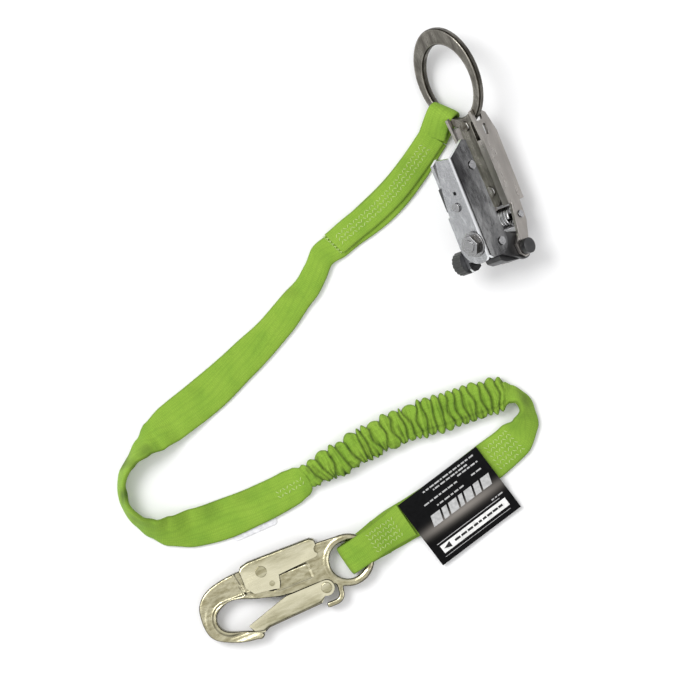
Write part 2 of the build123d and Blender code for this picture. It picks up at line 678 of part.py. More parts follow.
# folded label round the strap, its two layers joined in a flap beyond the strap's outer edge
LABEL_LONG = 65.0
LABEL_FLAP = 22.0
LABEL_SKIN = 0.7
LABEL_ROOM = 1.2
LABEL_SETBACK = 0.5
label_start = Vector(62.9, -114.2, 0)
label_stop = Vector(12.0, -128.1, 0)
label_way = (label_stop - label_start).normalized()
label_edge = label_start + label_way * LABEL_SETBACK
label_plane = Plane(origin=label_edge, x_dir=Vector(0, 0, 1).cross(label_way), z_dir=label_way)
cavity_half = STRAP_WIDE / 2 + LABEL_ROOM
cavity_high = strap_top + 0.3
FLAP_MID = 3.2

with BuildPart() as folded_label:
    with BuildSketch(label_plane):
        with BuildLine():
            Polyline(
                (-cavity_half - 0.8, 0.05), (cavity_half + 1.5, 0.05),
                (cavity_half + LABEL_FLAP, FLAP_MID - 0.8),
                (cavity_half + LABEL_FLAP, FLAP_MID + 0.8), (cavity_half + 1.5, cavity_high + LABEL_SKIN),
                (-cavity_half - 0.8, cavity_high + LABEL_SKIN), (-cavity_half - 0.8, 0.05),
            )
        make_face()
        with BuildLine():
            Polyline(
                (cavity_half, 0.05 + LABEL_SKIN), (-cavity_half, 0.05 + LABEL_SKIN),
                (-cavity_half, cavity_high),
                (cavity_half, cavity_high), (cavity_half, 0.05 + LABEL_SKIN),
            )
        make_face(mode=Mode.SUBTRACT)
    extrude(amount=LABEL_LONG)
save(folded_label, "folded_label")

# clear inspection tag under the strap
tag_way = (Vector(-90.0, -83.3, 0) - Vector(-113.9, -84.1, 0)).normalized()
tag_plane = Plane(origin=(-98.0, -91.0, 0.1), x_dir=tag_way)

with BuildPart() as inspection_tag:
    with BuildSketch(tag_plane):
        RectangleRounded(31.0, 18.0, 2.0)
    extrude(amount=0.6)
save(inspection_tag, "inspection_tag")
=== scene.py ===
import json
import math
import random
import bmesh
import bpy
from mathutils import Matrix, Vector, noise

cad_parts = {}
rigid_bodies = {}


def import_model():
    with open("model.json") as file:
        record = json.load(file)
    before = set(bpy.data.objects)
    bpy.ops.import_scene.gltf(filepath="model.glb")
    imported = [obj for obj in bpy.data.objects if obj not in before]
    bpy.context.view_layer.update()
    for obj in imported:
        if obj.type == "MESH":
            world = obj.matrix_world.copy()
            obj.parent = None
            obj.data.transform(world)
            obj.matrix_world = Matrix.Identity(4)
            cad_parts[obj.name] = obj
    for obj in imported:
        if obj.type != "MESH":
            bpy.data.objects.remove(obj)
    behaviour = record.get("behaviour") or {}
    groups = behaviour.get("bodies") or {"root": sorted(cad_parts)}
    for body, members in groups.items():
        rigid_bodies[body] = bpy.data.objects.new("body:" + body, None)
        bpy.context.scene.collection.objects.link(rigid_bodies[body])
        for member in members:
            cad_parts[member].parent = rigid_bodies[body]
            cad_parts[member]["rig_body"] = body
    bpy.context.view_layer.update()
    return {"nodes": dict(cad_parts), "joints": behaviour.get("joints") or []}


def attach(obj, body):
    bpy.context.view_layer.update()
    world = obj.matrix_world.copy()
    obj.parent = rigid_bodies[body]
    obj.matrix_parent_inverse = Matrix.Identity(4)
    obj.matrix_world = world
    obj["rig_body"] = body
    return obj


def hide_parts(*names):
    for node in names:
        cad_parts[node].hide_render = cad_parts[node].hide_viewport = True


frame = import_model()
MM = 0.001
UP = Vector((0, 0, 1))

# ---- camera, floor and light ---------------------------------------------------------------

LOOK_AT = Vector((5.6, -10.5, 0)) * MM
PICTURE_UP = Vector((0.3746, 0.9272, 0))
VIEW_WIDTH = 0.4667
CAMERA_HIGH = 2.4
SENSOR = 36.0
SKY_POWER = 1.05
KEY_POWER = 22.0


def make_camera():
    data = bpy.data.cameras.new("camera")
    camera = bpy.data.objects.new("camera", data)
    bpy.context.scene.collection.objects.link(camera)
    data.sensor_width = SENSOR
    data.lens = SENSOR * CAMERA_HIGH / VIEW_WIDTH
    data.clip_end = 20
    right = PICTURE_UP.cross(UP).normalized()
    turn = Matrix((right, PICTURE_UP.normalized(), UP)).transposed()
    camera.matrix_world = Matrix.Translation(LOOK_AT + UP * CAMERA_HIGH) @ turn.to_4x4()
    bpy.context.scene.camera = camera


def add_light(name, at, size, power):
    data = bpy.data.lights.new(name, "AREA")
    data.shape = "DISK"
    data.size = size
    data.energy = power
    light = bpy.data.objects.new(name, data)
    light.location = at
    light.rotation_euler = (LOOK_AT - Vector(at)).to_track_quat("-Z", "Y").to_euler()
    bpy.context.scene.collection.objects.link(light)


def new_mesh(name, verts, faces):
    mesh = bpy.data.meshes.new(name)
    mesh.from_pydata([tuple(v) for v in verts], [], faces)
    mesh.validate()
    mesh.polygons.foreach_set("use_smooth", [True] * len(mesh.polygons))
    mesh.update()
    obj = bpy.data.objects.new(name, mesh)
    bpy.context.scene.collection.objects.link(obj)
    return obj


def make_sky():
    """Bright above and to one side, dark at the horizon on the other, so that metal shows contrast."""
    world = bpy.data.worlds.new("studio")
    bpy.context.scene.world = world
    world.use_nodes = True
    tree = world.node_tree
    seen = tree.nodes["Background"]
    seen.inputs["Color"].default_value = (0.97, 0.975, 0.98, 1)
    painted_sheen = node(tree, "ShaderNodeBackground")
    painted_sheen.inputs["Strength"].default_value = SKY_POWER
    way = node(tree, "ShaderNodeSeparateXYZ")
    tree.links.new(node(tree, "ShaderNodeTexCoord").outputs["Generated"], way.inputs[0])
    leant = add_up(tree, way.outputs["Z"], way.outputs["X"], -0.32)
    tone = ramp(
        tree, leant,
        (0.0, grey(0.03)), (0.28, grey(0.09)), (0.50, grey(0.62)), (0.85, grey(1.0)),
    )
    tree.links.new(tone, painted_sheen.inputs["Color"])
    rays = node(tree, "ShaderNodeLightPath")
    mix = node(tree, "ShaderNodeMixShader")
    tree.links.new(rays.outputs["Is Camera Ray"], mix.inputs[0])
    tree.links.new(painted_sheen.outputs[0], mix.inputs[1])
    tree.links.new(seen.outputs[0], mix.inputs[2])
    tree.links.new(mix.outputs[0], tree.nodes["World Output"].inputs["Surface"])


def make_studio():
    half = 3.0
    corners = [(-half, -half, 0), (half, -half, 0), (half, half, 0), (-half, half, 0)]
    floor = new_mesh("floor", corners, [(0, 1, 2, 3)])
    floor.location.z = -0.0003
    paint, _, shader = material("floor_paper")
    shader.inputs["Base Color"].default_value = (0.95, 0.95, 0.955, 1)
    shader.inputs["Roughness"].default_value = 0.95
    shader.inputs["Specular IOR Level"].default_value = 0.1
    floor.data.materials.append(paint)
    make_sky()
    add_light("key", (-0.75, 0.85, 1.75), 1.0, KEY_POWER)
    add_light("fill", (1.1, -0.7, 1.6), 0.9, KEY_POWER * 0.2)
    bpy.context.scene.view_settings.view_transform = "Standard"


# ---- materials -----------------------------------------------------------------------------

def material(name):
    made = bpy.data.materials.new(name)
    made.use_nodes = True
    tree = made.node_tree
    return made, tree, tree.nodes["Principled BSDF"]


def node(tree, kind, **settings):
    made = tree.nodes.new(kind)
    for key, value in settings.items():
        setattr(made, key, value)
    return made


def texture(tree, kind, source, scale, **sockets):
    """A texture node fed from a coordinate output."""
    made = node(tree, kind)
    tree.links.new(source, made.inputs["Vector"])
    made.inputs["Scale"].default_value = scale
    for key, value in sockets.items():
        made.inputs[key.replace("_", " ")].default_value = value
    return made


def ramp(tree, factor, *stops):
    """A colour ramp from (place, colour) stops."""
    made = node(tree, "ShaderNodeValToRGB")
    tree.links.new(factor, made.inputs["Fac"])
    elements = made.color_ramp.elements
    while len(elements) < len(stops):
        elements.new(0.5)
    for element, (place, colour) in zip(elements, stops):
        element.position = place
        element.color = (*colour, 1)
    return made.outputs["Color"]


def grey(value):
    return (value, value, value)


def bump(tree, shader, height, strength, distance, under=None):
    made = node(tree, "ShaderNodeBump")
    made.inputs["Strength"].default_value = strength
    made.inputs["Distance"].default_value = distance
    tree.links.new(height, made.inputs["Height"])
    if under is not None:
        tree.links.new(under, made.inputs["Normal"])
    tree.links.new(made.outputs["Normal"], shader.inputs["Normal"])
    return made.outputs["Normal"]


def multiply(tree, a, b):
    made = node(tree, "ShaderNodeMix", data_type="RGBA", blend_type="MULTIPLY")
    made.inputs["Factor"].default_value = 1.0
    tree.links.new(a, made.inputs[6])
    tree.links.new(b, made.inputs[7])
    return made.outputs[2]


def add_up(tree, a, b, share):
    """a plus share times b."""
    made = node(tree, "ShaderNodeMath", operation="MULTIPLY_ADD")
    tree.links.new(b, made.inputs[0])
    made.inputs[1].default_value = share
    tree.links.new(a, made.inputs[2])
    return made.outputs[0]


def webbing_material():
    """Woven green polyester: fine picks and ribs, soft mottling, fuzz, and painted shade where it is
    creased.
    """
    made, tree, shader = material("green_webbing")
    uv = node(tree, "ShaderNodeUVMap", uv_map="weave").outputs["UV"]
    objects = node(tree, "ShaderNodeTexCoord").outputs["Object"]
    crease_shading = node(tree, "ShaderNodeAttribute", attribute_name="crease_shade").outputs["Color"]
    warp = texture(tree, "ShaderNodeTexWave", uv, 0.22, Distortion=0.15, Detail=1.0)
    weft = texture(tree, "ShaderNodeTexWave", uv, 0.26, Distortion=0.2, Detail=1.0)
    weft.bands_direction = "Y"
    mottle = texture(tree, "ShaderNodeTexNoise", objects, 55.0, Detail=5.0, Roughness=0.6)
    fuzz = texture(tree, "ShaderNodeTexNoise", objects, 1700.0, Detail=3.0)
    weave = multiply(tree, warp.outputs["Color"], weft.outputs["Color"])
    base = ramp(
        tree, mottle.outputs["Fac"],
        (0.30, (0.205, 0.375, 0.036)), (0.50, (0.245, 0.420, 0.042)), (0.72, (0.275, 0.450, 0.050)),
    )
    dark_gaps = ramp(tree, weave, (0.0, grey(0.88)), (0.30, grey(1.0)))
    flecks = ramp(tree, fuzz.outputs["Fac"], (0.35, grey(0.88)), (0.62, grey(1.04)))
    colour = multiply(tree, multiply(tree, base, dark_gaps), flecks)
    # painted shade: the colour darkens with the crease shade attribute, in creases, pleat valleys and along
    # the edges
    painted_light_mix = ramp(tree, crease_shading, (0.0, grey(1.0)), (0.5, (0.62, 0.60, 0.62)), (1.0, (0.20, 0.24, 0.26)))
    tree.links.new(multiply(tree, colour, painted_light_mix), shader.inputs["Base Color"])
    shader.inputs["Roughness"].default_value = 0.85
    shader.inputs["Specular IOR Level"].default_value = 0.25
    shader.inputs["Sheen Weight"].default_value = 0.12
    shader.inputs["Sheen Roughness"].default_value = 0.5
    shader.inputs["Sheen Tint"].default_value = (0.7, 1.0, 0.4, 1)
    height = add_up(tree, weave, fuzz.outputs["Fac"], 0.9)
    bump(tree, shader, height, 0.35, 0.0003)
    return made


def thread_material():
    """Pale stitching thread with a twist."""
    made, tree, shader = material("pale_thread")
    objects = node(tree, "ShaderNodeTexCoord").outputs["Object"]
    strands = texture(tree, "ShaderNodeTexWave", objects, 900.0, Distortion=2.0, Detail=1.0)
    colour = ramp(tree, strands.outputs["Fac"], (0.0, (0.36, 0.50, 0.12)), (1.0, (0.70, 0.80, 0.40)))
    tree.links.new(colour, shader.inputs["Base Color"])
    shader.inputs["Roughness"].default_value = 0.6
    bump(tree, shader, strands.outputs["Fac"], 0.4, 0.0001)
    return made


def metal_material(name, tones, rough, scratches, patch=140.0, stretch=(1, 1, 1), waves=0.0):
    """Metal: dark, middle and light tones in patches, painted highlights on its edges, painted shade, fine
    scratches, uneven gloss, and waves, the shallow dents that break up a reflection."""
    made, tree, shader = material(name)
    dark, mid, light = tones
    objects = node(tree, "ShaderNodeTexCoord").outputs["Object"]
    painted_highlight = node(tree, "ShaderNodeAttribute", attribute_name="painted_highlight").outputs["Color"]
    shaped = node(tree, "ShaderNodeMapping")
    tree.links.new(objects, shaped.inputs["Vector"])
    shaped.inputs["Scale"].default_value = stretch
    drawn = node(tree, "ShaderNodeMapping")
    tree.links.new(objects, drawn.inputs["Vector"])
    drawn.inputs["Scale"].default_value = tuple(math.sqrt(share) for share in stretch)
    patches = texture(tree, "ShaderNodeTexNoise", drawn.outputs["Vector"], patch, Detail=6.0, Roughness=0.65)
    dents = texture(tree, "ShaderNodeTexNoise", objects, 75.0, Detail=2.0)
    grain = texture(tree, "ShaderNodeTexNoise", shaped.outputs["Vector"], 1500.0, Detail=3.0)
    colour = ramp(tree, patches.outputs["Fac"], (0.38, dark), (0.50, mid), (0.62, light))
    # painted highlight: the painted_highlight attribute mixes the colour towards a brighter tone
    painted_light_mix = node(tree, "ShaderNodeMix", data_type="RGBA")
    tree.links.new(painted_highlight, painted_light_mix.inputs["Factor"])
    tree.links.new(colour, painted_light_mix.inputs[6])
    painted_light_mix.inputs[7].default_value = (*(min(1.0, c * 1.25 + 0.05) for c in light), 1)
    painted_shade = node(tree, "ShaderNodeAttribute", attribute_name="painted_shade").outputs["Color"]
    # painted shade: this attribute darkens the colour towards a near-black brown
    shade_paint = ramp(tree, painted_shade, (0.0, grey(1.0)), (1.0, (0.09, 0.078, 0.055)))
    tree.links.new(multiply(tree, painted_light_mix.outputs[2], shade_paint), shader.inputs["Base Color"])
    shader.inputs["Metallic"].default_value = 1.0
    gloss = ramp(tree, patches.outputs["Fac"], (0.3, grey(rough * 1.45)), (0.7, grey(rough * 0.75)))
    tree.links.new(gloss, shader.inputs["Roughness"])
    low = bump(tree, shader, dents.outputs["Fac"], waves, 0.004)
    height = add_up(tree, grain.outputs["Fac"], patches.outputs["Fac"], 1.2)
    bump(tree, shader, height, scratches, 0.0002, low)
    return made


def paint_material(name, colour, rough, coat=0.0, mottled=0.15, painted_sheen=None, shine=0.3):
    """Print, vinyl or label stock with slight unevenness, and a painted sheen band, a painted reflection,
    where the mesh asks for one.
    """
    made, tree, shader = material(name)
    objects = node(tree, "ShaderNodeTexCoord").outputs["Object"]
    wear = texture(tree, "ShaderNodeTexNoise", objects, 400.0, Detail=4.0)
    low = tuple(c * (1 - mottled) for c in colour)
    high = tuple(min(1.0, c * (1 + mottled)) for c in colour)
    tone = ramp(tree, wear.outputs["Fac"], (0.35, low), (0.65, high))
    if painted_sheen:
        band = node(tree, "ShaderNodeMix", data_type="RGBA")
        sheen_mask = node(tree, "ShaderNodeAttribute", attribute_name="painted_sheen").outputs["Fac"]
        tree.links.new(sheen_mask, band.inputs["Factor"])
        tree.links.new(tone, band.inputs[6])
        band.inputs[7].default_value = (*painted_sheen, 1)
        tone = band.outputs[2]
    tree.links.new(tone, shader.inputs["Base Color"])
    shader.inputs["Roughness"].default_value = rough
    shader.inputs["Specular IOR Level"].default_value = shine
    shader.inputs["Coat Weight"].default_value = coat
    bump(tree, shader, wear.outputs["Fac"], 0.15, 0.0001)
    return made


# ---- hardware ------------------------------------------------------------------------------

SHARP = 28.0


def on_its_body(obj, name, paint):
    """Gives a new form its material and has it stand for a CAD node."""
    obj.data.materials.clear()
    obj.data.materials.append(paint)
    obj.data.polygons.foreach_set("use_smooth", [True] * len(obj.data.polygons))
    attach(obj, frame["nodes"][name]["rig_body"])
    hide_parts(name)
    return obj


def merged(name):
    work = bmesh.new()
    work.from_mesh(frame["nodes"][name].data)
    bmesh.ops.remove_doubles(work, verts=work.verts, dist=1e-6)
    bmesh.ops.dissolve_limit(
        work, angle_limit=math.radians(0.6), verts=work.verts, edges=work.edges, delimit={"NORMAL"}
    )
    return work


def bevelled(work, edges, radius, segments, clamp=True):
    """Rounds edges over and returns the new faces' corners."""
    made = bmesh.ops.bevel(
        work, geom=edges, offset=radius, segments=segments, profile=0.5, affect="EDGES", clamp_overlap=clamp
    )
    return {v for face in made["faces"] if face.is_valid for v in face.verts}


def sharp_edges(work, angle, chosen=None):
    found = []
    for edge in work.edges:
        if len(edge.link_faces) == 2 and edge.calc_face_angle(0) > math.radians(angle):
            if chosen is None or chosen((edge.verts[0].co + edge.verts[1].co) / 2):
                found.append(edge)
    return found


def corner_normals(work, size):
    """A normal for each face corner, led by the largest faces that meet there, so that a broad face
    looks flat and only the rounded edges turn the light."""
    normals = []
    for face in work.faces:
        for corner in face.loops:
            total = Vector()
            for other in corner.vert.link_faces:
                if other.normal.dot(face.normal) > 0.6:
                    total += other.normal * other[size]
            normals.append(total.normalized() if total.length > 0 else face.normal.copy())
    return normals


def softened(name, radius, paint, fold=None, fold_radius=0.0, shade_paint=0.0, side=None, facing=UP):
    """A copy of a CAD node with its sharp edges rounded over, its sheet-metal folds rounder, painted
    highlights on its rounded edges, and painted shade where it turns away from its facing, or on the faces
    that look to one side."""
    work = merged(name)
    if fold:
        bevelled(work, sharp_edges(work, SHARP, fold), fold_radius, 6, clamp=False)
    painted_highlight = bevelled(work, sharp_edges(work, SHARP), radius, 2)
    work.verts.index_update()
    painted_highlight = {v.index for v in painted_highlight if v.is_valid}
    # painted shade, on faces that look towards side, or where the piece turns away from facing
    painted_shade = []
    for vert in work.verts:
        if side:
            sideways = max((face.normal.dot(side) for face in vert.link_faces), default=0.0)
            painted_shade.append(shade_paint * ease((sideways - 0.6) / 0.38))
        else:
            flat = max((abs(face.normal.dot(facing)) for face in vert.link_faces), default=1.0)
            painted_shade.append(shade_paint * edge_shade_paint(flat))
    size = work.faces.layers.float.new("size")
    work.normal_update()
    for face in work.faces:
        face[size] = face.calc_area() / MM ** 2
    bmesh.ops.triangulate(work, faces=[f for f in work.faces if len(f.verts) > 4])
    work.normal_update()
    normals = corner_normals(work, size)
    mesh = bpy.data.meshes.new(name + "_form")
    work.to_mesh(mesh)
    work.free()
    # painted highlights on the rounded edges, where there is little painted shade
    paint_points(mesh, "painted_highlight", [0.7 if i in painted_highlight and g < 0.3 else 0.0 for i, g in enumerate(painted_shade)])
    paint_points(mesh, "painted_shade", painted_shade)
    made = bpy.data.objects.new(name + "_form", mesh)
    bpy.context.scene.collection.objects.link(made)
    on_its_body(made, name, paint)
    mesh.normals_split_custom_set(normals)
    return made


def smoothed(obj, rounds):
    """Applies an object's modifiers and some rounds of smoothing, and gives it the new mesh."""
    smooth = obj.modifiers.new("round", "SMOOTH")
    smooth.factor = 0.5
    smooth.iterations = rounds
    bpy.context.view_layer.update()
    done = bpy.data.meshes.new_from_object(obj.evaluated_get(bpy.context.evaluated_depsgraph_get()))
    obj.modifiers.clear()
    obj.data = done
    return done


def forged(name, paint, voxel, rounds, facing, relief=None):
    """A copy of a CAD node as a forging: remeshed finely, smoothed so its edges are round, with painted
    highlights where it begins to turn and painted shade further round, by how far each place turns from the
    way the piece faces."""
    work = merged(name)
    mesh = bpy.data.meshes.new(name + "_form")
    work.to_mesh(mesh)
    work.free()
    made = bpy.data.objects.new(name + "_form", mesh)
    bpy.context.scene.collection.objects.link(made)
    remesh = made.modifiers.new("voxels", "REMESH")
    remesh.mode = "VOXEL"
    remesh.voxel_size = voxel
    remesh.adaptivity = 0.0
    done = smoothed(made, rounds)
    if relief:
        moved = [v.co + relief(v.co, v.normal) for v in done.vertices]
        done.vertices.foreach_set("co", [c for at in moved for c in at])
        done.update()
        done = smoothed(made, 5)
    flat = [abs(v.normal.dot(facing)) for v in done.vertices]
    # painted highlight where the surface begins to turn
    paint_points(done, "painted_highlight", [0.5 * ease((0.99 - f) / 0.05) * ease((f - 0.86) / 0.06) for f in flat])
    # painted shade further round the turn
    paint_points(done, "painted_shade", [edge_shade_paint(f) for f in flat])
    return on_its_body(made, name, paint)


def edge_shade_paint(flat):
    """Painted shade where a piece turns away from its flat side: most on the turn, less on its upright
    sides.
    """
    return ease((0.96 - flat) / 0.34) * (1 - 0.45 * ease((0.42 - flat) / 0.3))


def paint_points(mesh, name, values):
    layer = mesh.color_attributes.new(name, "FLOAT_COLOR", "POINT")
    layer.data.foreach_set("color", [c for v in values for c in (v, v, v, 1.0)])


def repaint(name, paint):
    """A CAD node keeps its shape and takes a better material."""
    source = frame["nodes"][name]
    source.data.materials.clear()
    source.data.materials.append(paint)
    source.data.polygons.foreach_set("use_smooth", [True] * len(source.data.polygons))
    source.data.set_sharp_from_angle(angle=math.radians(35))


# ---- webbing: route and ribbon --------------------------------------------------------------

# the strap's middle from the ring's end to the hook's end, as in the CAD, in millimetres
ROUTE = [
    (110.5, 99.6), (87.3, 83.1), (60.0, 68.9), (22.5, 58.1), (-0.8, 43.1), (-32.9, 22.3), (-63.3, 9.4),
    (-95.8, -3.3), (-122.4, -10.5), (-144.9, -18.0), (-161.6, -26.2), (-169.7, -37.2), (-172.2, -50.6),
    (-167.4, -65.0), (-154.2, -76.8), (-134.7, -81.8), (-113.9, -83.8), (-90.0, -83.3), (-66.2, -81.4),
    (-44.3, -76.462), (-24.0, -75.4), (-3.0, -71.4), (20.0, -70.0), (43.4, -71.8), (64.0, -73.0),
    (93.0, -75.2), (102.0, -86.5), (96.5, -100.5), (83.5, -108.0), (62.9, -114.2), (36.0, -122.0),
    (12.0, -128.1), (-10.3, -131.06), (-22.0, -133.6),
]
SLEEVE_FROM = Vector((-53.0, -78.6, 0))
SLEEVE_TO = Vector((91.0, -75.6, 0))

# at these places along the route: width, thickness and how far the strap stands on edge, in degrees
SHAPE = [
    ((110.5, 99.6), 19.5, 2.8, 0), ((87.3, 83.1), 21.5, 3.0, 0),
    ((60, 68.9), 22.5, 3.0, 0), ((22.5, 58.1), 19, 3.4, 0),
    ((8, 49), 17, 4.4, 4), ((-0.8, 43.1), 17.5, 4.4, 4),
    ((-32.9, 22.3), 21, 3.8, 0), ((-63.3, 9.4), 24, 3.4, 0),
    ((-95.8, -3.3), 26.5, 3.2, 0), ((-122.4, -10.5), 26, 3.4, 8), ((-136, -15), 24, 3.8, 24),
    ((-146, -19), 21, 4.0, 52), ((-156, -24.5), 19, 3.8, 68), ((-169.7, -37.2), 18, 3.6, 75),
    ((-172.2, -50.6), 18, 3.6, 75), ((-168, -64), 18.5, 3.8, 68), ((-161, -71.5), 20, 4.0, 52),
    ((-151, -78), 23, 4.0, 28), ((-134.7, -81.8), 26, 3.6, 8), ((-113.9, -83.8), 27, 3.4, 0),
    ((-90, -83.3), 25.5, 3.6, 0), ((-66.2, -81.4), 24.5, 4.4, 0), ((-58, -79.8), 22, 5.5, 0),
    ((-53, -78.6), 17.5, 8, 0), ((-46, -77), 19.5, 10, 0), ((-24, -75.4), 22.5, 11, 0),
    ((20, -70), 23.5, 11, 0), ((50, -72), 25, 11.5, 0), ((70, -73.5), 25.5, 11, 0),
    ((82, -74.4), 24.5, 10, 0), ((89.5, -75.2), 19, 8, -6), ((94, -77.5), 13, 6.0, -30),
    ((98, -82), 12.5, 5.0, -50), ((99.5, -90), 14.5, 4.4, -50), ((95, -99.5), 19.5, 4.0, -25),
    ((84, -107), 25.5, 3.6, -3), ((62.9, -114.2), 27, 3.4, 0), ((12, -128.1), 27, 3.4, 0),
    ((-10.3, -131.06), 26.5, 3.2, 0), ((-22, -133.6), 25, 3.0, 0),
]


def smooth_route(points, name):
    """Points along the NURBS line that has these control points."""
    data = bpy.data.curves.new(name, "CURVE")
    data.dimensions = "3D"
    spline = data.splines.new("NURBS")
    spline.points.add(len(points) - 1)
    for point, at in zip(spline.points, points):
        point.co = (*at, 1)
    spline.order_u = 3
    spline.use_endpoint_u = True
    spline.resolution_u = 24
    holder = bpy.data.objects.new(name, data)
    bpy.context.scene.collection.objects.link(holder)
    bpy.context.view_layer.update()
    mesh = bpy.data.meshes.new_from_object(holder.evaluated_get(bpy.context.evaluated_depsgraph_get()))
    line = [v.co.copy() for v in mesh.vertices]
    bpy.data.objects.remove(holder)
    bpy.data.meshes.remove(mesh)
    return line


def even_steps(line, step):
    """The line again, with its points one step apart, and each point's distance along it."""
    lengths = [0.0]
    for a, b in zip(line, line[1:]):
        lengths.append(lengths[-1] + (b - a).length)
    count = max(2, round(lengths[-1] / step))
    points, at = [], 0
    for i in range(count + 1):
        goal = lengths[-1] * i / count
        while at < len(line) - 2 and lengths[at + 1] < goal:
            at += 1
        span = lengths[at + 1] - lengths[at]
        points.append(line[at].lerp(line[at + 1], (goal - lengths[at]) / max(span, 1e-12)))
    return points, [lengths[-1] * i / count for i in range(count + 1)]


def ease(t):
    t = min(1.0, max(0.0, t))
    return t * t * (3 - 2 * t)


class Ribbon:
    """A flat strap along a line: where its middle runs, which way it lies, how wide and thick it is."""

    def __init__(self, points, runs, wide, thick, sides, ups):
        self.points = points
        self.runs = runs
        self.wide = wide
        self.thick = thick
        self.sides = sides
        self.ups = ups
        self.length = runs[-1]

    def index(self, run):
        return min(len(self.points) - 1, max(0, round(run / self.length * (len(self.points) - 1))))

    def top(self, run, across):
        """A point on the upper face, and the way up there. across is from the middle, in metres."""
        i = self.index(run)
        half = self.wide[i] / 2
        bulge = math.sqrt(max(0.0, 1 - min(1.0, abs(across) / half) ** 3.2))
        up = self.ups[i] if self.ups[i].z > 0 else -self.ups[i]
        return self.points[i] + self.sides[i] * across + up * (self.thick[i] / 2 * bulge), up

    def run_at(self, place):
        """How far along the strap the nearest point to a place is."""
        nearest = min(range(len(self.points)), key=lambda i: (self.points[i].xy - place.xy).length)
        return self.runs[nearest]


def skin(ribbon, name, paint, around=40, shape=None, floor=0.00015):
    """The ribbon's closed surface, with its weave's coordinates in millimetres and its painted crease shade,
    darker towards its edges and where the shape asks for it.
    """
    verts, faces, uvs, crease_shades = [], [], [], []
    for i, (centre, side, up) in enumerate(zip(ribbon.points, ribbon.sides, ribbon.ups)):
        for k in range(around):
            angle = 2 * math.pi * k / around
            c, s = math.cos(angle), math.sin(angle)
            u = math.copysign(abs(c) ** 0.60, c)
            v = math.copysign(abs(s) ** 0.75, s)
            across = u * ribbon.wide[i] / 2
            rise = v * ribbon.thick[i] / 2
            # painted shade along the strap's edges
            crease_shade = 0.38 * max(0.0, abs(u) - 0.9) / 0.1
            if shape:
                across, rise, more_shade = shape(i, u, v, across, rise)
                crease_shade = min(1.0, crease_shade + more_shade)
            at = centre + side * across + up * rise
            at.z = max(at.z, floor)
            verts.append(at)
            crease_shades.append(crease_shade)
    rows = len(ribbon.points)
    for i in range(rows - 1):
        for k in range(around):
            a, b = i * around + k, i * around + (k + 1) % around
            faces.append((a, a + around, b + around, b))
            reach = ribbon.wide[i] / MM
            x0, x1 = k / around * 2 * reach, (k + 1) / around * 2 * reach
            y0, y1 = ribbon.runs[i] / MM, ribbon.runs[i + 1] / MM
            uvs += [(x0, y0), (x0, y1), (x1, y1), (x1, y0)]
    for row in (0, rows - 1):
        ring = [row * around + k for k in range(around)]
        faces.append(tuple(reversed(ring)) if row else tuple(ring))
        uvs += [(verts[n].x / MM, verts[n].y / MM) for n in faces[-1]]
    made = new_mesh(name, verts, faces)
    layer = made.data.uv_layers.new(name="weave")
    layer.data.foreach_set("uv", [c for uv in uvs for c in uv])
    paint_points(made.data, "crease_shade", crease_shades)
    made.data.materials.append(paint)
    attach(made, "webbing")
    return made


def sway(point):
    """The small kink below the doubled end, sideways from the route's smooth line."""
    shift = 0.0
    for place, reach in (((13.0, 53.0), -2.8), ((-6.0, 39.5), 1.3)):
        away = (point.xy - Vector(place) * MM).length / (8.0 * MM)
        shift += reach * MM * math.exp(-(away ** 2))
    return shift


def lay_strap():
    """The main strap's ribbon, from the ring's end to the hook's end."""
    line = smooth_route([(x * MM, y * MM, 0) for x, y in ROUTE], "strap_route")
    points, runs = even_steps(line, 0.00055)
    stations = []
    for (x, y), wide, thick, lean in SHAPE:
        place = Vector((x, y, 0)) * MM
        nearest = min(range(len(points)), key=lambda i: (points[i] - place).length)
        stations.append((runs[nearest], wide * MM, thick * MM, math.radians(lean)))
    wides, thicks, sides, ups, centres = [], [], [], [], []
    at = 0
    for i, (point, run) in enumerate(zip(points, runs)):
        while at < len(stations) - 2 and stations[at + 1][0] < run:
            at += 1
        low, high = stations[at], stations[at + 1]
        share = ease((run - low[0]) / max(high[0] - low[0], 1e-9))
        wide, thick, lean = (a + (b - a) * share for a, b in zip(low[1:], high[1:]))
        tangent = (points[min(i + 1, len(points) - 1)] - points[max(i - 1, 0)]).normalized()
        flat = UP.cross(tangent)
        side = flat * math.cos(lean) + UP * math.sin(lean)
        up = UP * math.cos(lean) - flat * math.sin(lean)
        lift = abs(math.sin(lean)) * wide / 2 + abs(math.cos(lean)) * thick / 2
        centres.append(point + UP * (lift + 0.0002) + flat * sway(point))
        wides.append(wide)
        thicks.append(thick)
        sides.append(side)
        ups.append(up)
    return Ribbon(centres, runs, wides, thicks, sides, ups)


# the gathered sleeve: its pleats, of which the first ones are uneven, and how far they stand out
PLEATS = 24
UNEVEN_PLEATS = 13
PUFF = 0.0042
VALLEY_HALF = 0.0011
SEAM_ACROSS = -0.62


